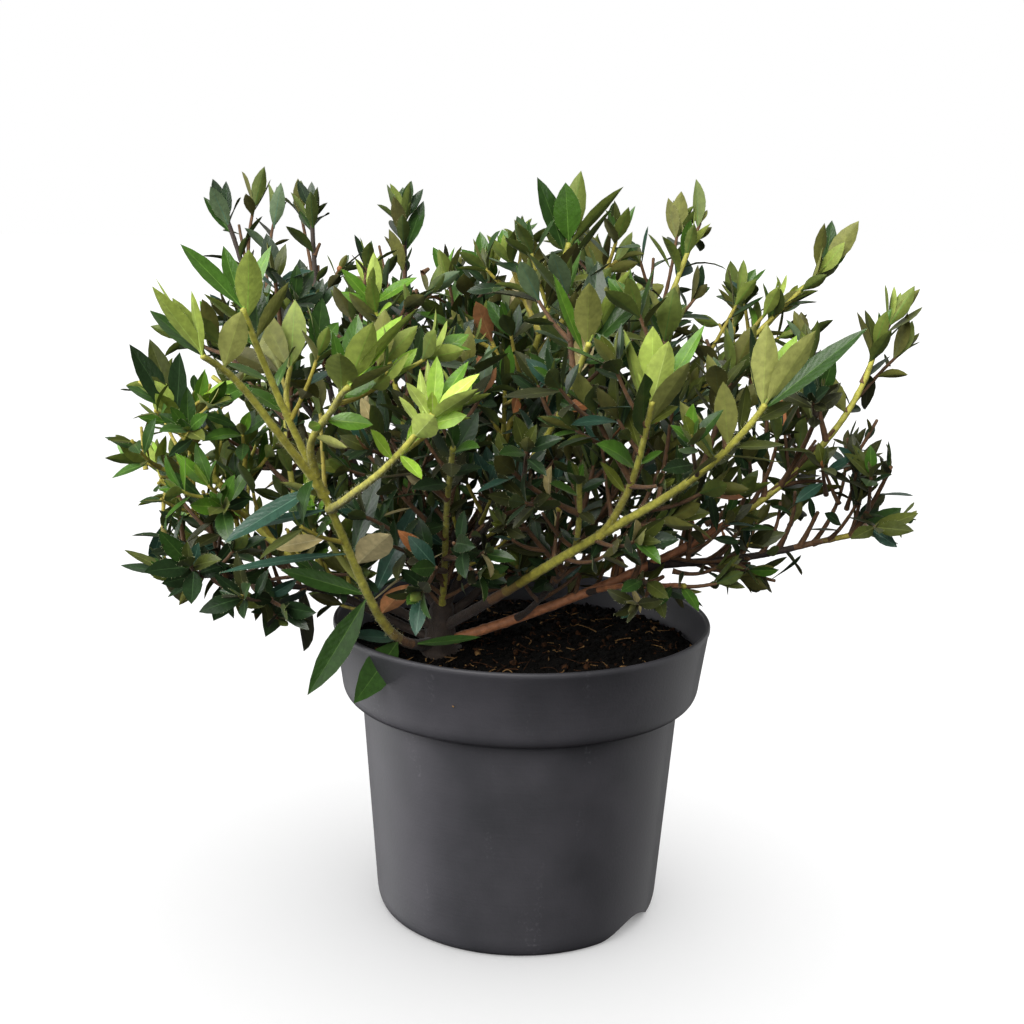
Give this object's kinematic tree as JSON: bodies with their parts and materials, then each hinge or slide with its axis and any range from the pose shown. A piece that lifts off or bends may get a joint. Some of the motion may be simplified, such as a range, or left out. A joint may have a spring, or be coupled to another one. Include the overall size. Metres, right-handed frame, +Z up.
{
  "type": "potted rhododendron",
  "caption": "Dwarf rhododendron shrub with many slender boughs and whorled leaves, growing in a round nursery pot filled with peat.",
  "frame": {"origin": "middle of the flat pad in the pot's underside, level with its foot ring, on the ground", "axes": "+Z up along the pot's axis, +X to the viewer's right and +Y away from the viewer, who looks at the front of the plant from -Y"},
  "size_m": [0.365, 0.3589, 0.3372],
  "materials": {
    "pot_plastic": "dark grey, satin",
    "peat": "near-black, moist and crumbly",
    "old_bark": "orange-brown, flaky",
    "young_bark": "yellow-green, smooth",
    "leaf_young": "lime green, soft sheen",
    "leaf_green": "mid green, soft sheen",
    "leaf_deep": "dark green, leathery sheen",
    "leaf_olive": "olive green, dull"
  },
  "bodies": {
    "root": {"pot": "pot_plastic", "soil": "peat", "trunk": "old_bark", "bough_front_left": "young_bark", "bough_front_left_outer": "young_bark", "bough_front_left_inner": "young_bark", "bough_front_bud": "young_bark", "bough_front": "young_bark", "bough_left": "young_bark", "bough_left_high": "young_bark", "bough_low_left": "young_bark", "bough_low_left_front": "young_bark", "bough_back_left": "young_bark", "bough_back_left_inner": "young_bark", "bough_far_left": "young_bark", "bough_back": "young_bark", "bough_rear_left": "young_bark", "bough_middle": "young_bark", "bough_middle_back": "young_bark", "bough_top": "young_bark", "bough_heart": "young_bark", "bough_right_front": "young_bark", "bough_front_right": "young_bark", "bough_front_right_high": "young_bark", "bough_right": "young_bark", "bough_front_low": "young_bark", "bough_over_rim": "young_bark", "bough_low_right": "young_bark", "bough_right_back": "young_bark", "bough_right_back_outer": "young_bark", "bough_back_right": "young_bark", "leaves_front_left": "leaf_green", "leaves_front_left_outer": "leaf_green", "leaves_front_left_inner": "leaf_young", "leaves_front_bud": "leaf_young", "leaves_front": "leaf_deep", "leaves_left": "leaf_green", "leaves_left_high": "leaf_deep", "leaves_low_left": "leaf_green", "leaves_low_left_front": "leaf_deep", "leaves_back_left": "leaf_green", "leaves_back_left_inner": "leaf_green", "leaves_far_left": "leaf_green", "leaves_back": "leaf_green", "leaves_rear_left": "leaf_green", "leaves_middle": "leaf_deep", "leaves_middle_back": "leaf_deep", "leaves_top": "leaf_green", "leaves_heart": "leaf_deep", "leaves_right_front": "leaf_olive", "leaves_front_right": "leaf_green", "leaves_front_right_high": "leaf_olive", "leaves_right": "leaf_olive", "leaves_front_low": "leaf_olive", "leaves_over_rim": "leaf_olive", "leaves_low_right": "leaf_olive", "leaves_right_back": "leaf_deep", "leaves_right_back_outer": "leaf_green", "leaves_back_right": "leaf_green"}
  },
  "joints": []
}
